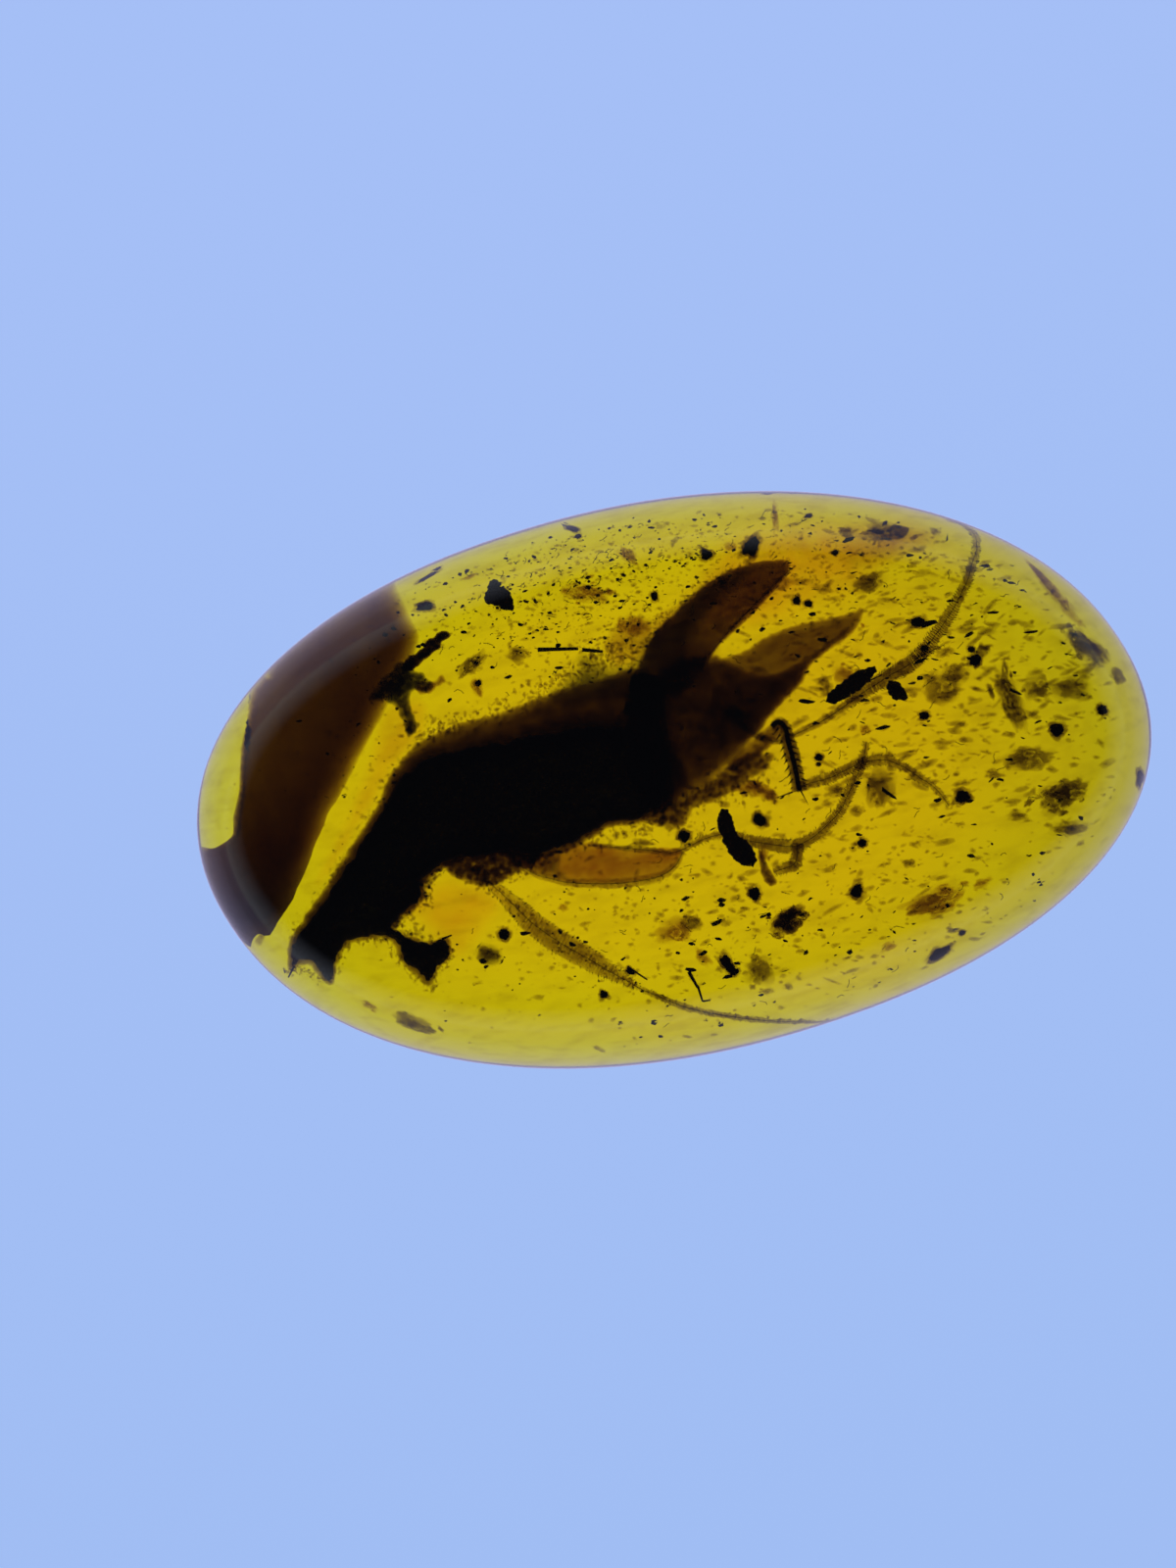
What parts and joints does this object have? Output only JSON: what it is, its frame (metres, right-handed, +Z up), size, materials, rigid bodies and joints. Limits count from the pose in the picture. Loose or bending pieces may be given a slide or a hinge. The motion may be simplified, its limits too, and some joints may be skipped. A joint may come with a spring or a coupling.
{
  "type": "insect in amber",
  "caption": "Polished egg-shaped amber pebble with a low dome, a flat base and a dark fossil insect, a dark resin band and plant crumbs sealed inside.",
  "frame": {"origin": "centre of the pebble's box, on its flat base", "axes": "+X along the pebble's length towards the insect's wing tips, +Y across it, +Z up from the flat base"},
  "size_m": [0.0242, 0.014, 0.005],
  "materials": {
    "amber": "polished, clear golden yellow",
    "dark_resin": "cloudy dark brown resin",
    "chitin": "blackened insect shell, brown where thin",
    "bark": "charred plant crumbs",
    "olive_crumb": "brown olive plant crumbs"
  },
  "bodies": {
    "root": {"amber_lower_half": "amber", "amber_upper_half": "amber", "dark_resin_band": "dark_resin", "insect": "chitin", "spindle_seed": "bark", "rhomb_seed": "bark", "comma_seed": "bark", "bark_chip": "bark", "speckled_crumb": "bark", "tilted_crumb": "bark", "block_crumb": "bark", "rim_crumb": "bark", "long_crumb": "olive_crumb", "upright_crumb": "olive_crumb", "flat_crumb": "olive_crumb", "round_crumb": "olive_crumb", "corner_crumb": "olive_crumb", "top_crumb": "olive_crumb", "olive_disc": "olive_crumb"}
  },
  "joints": []
}
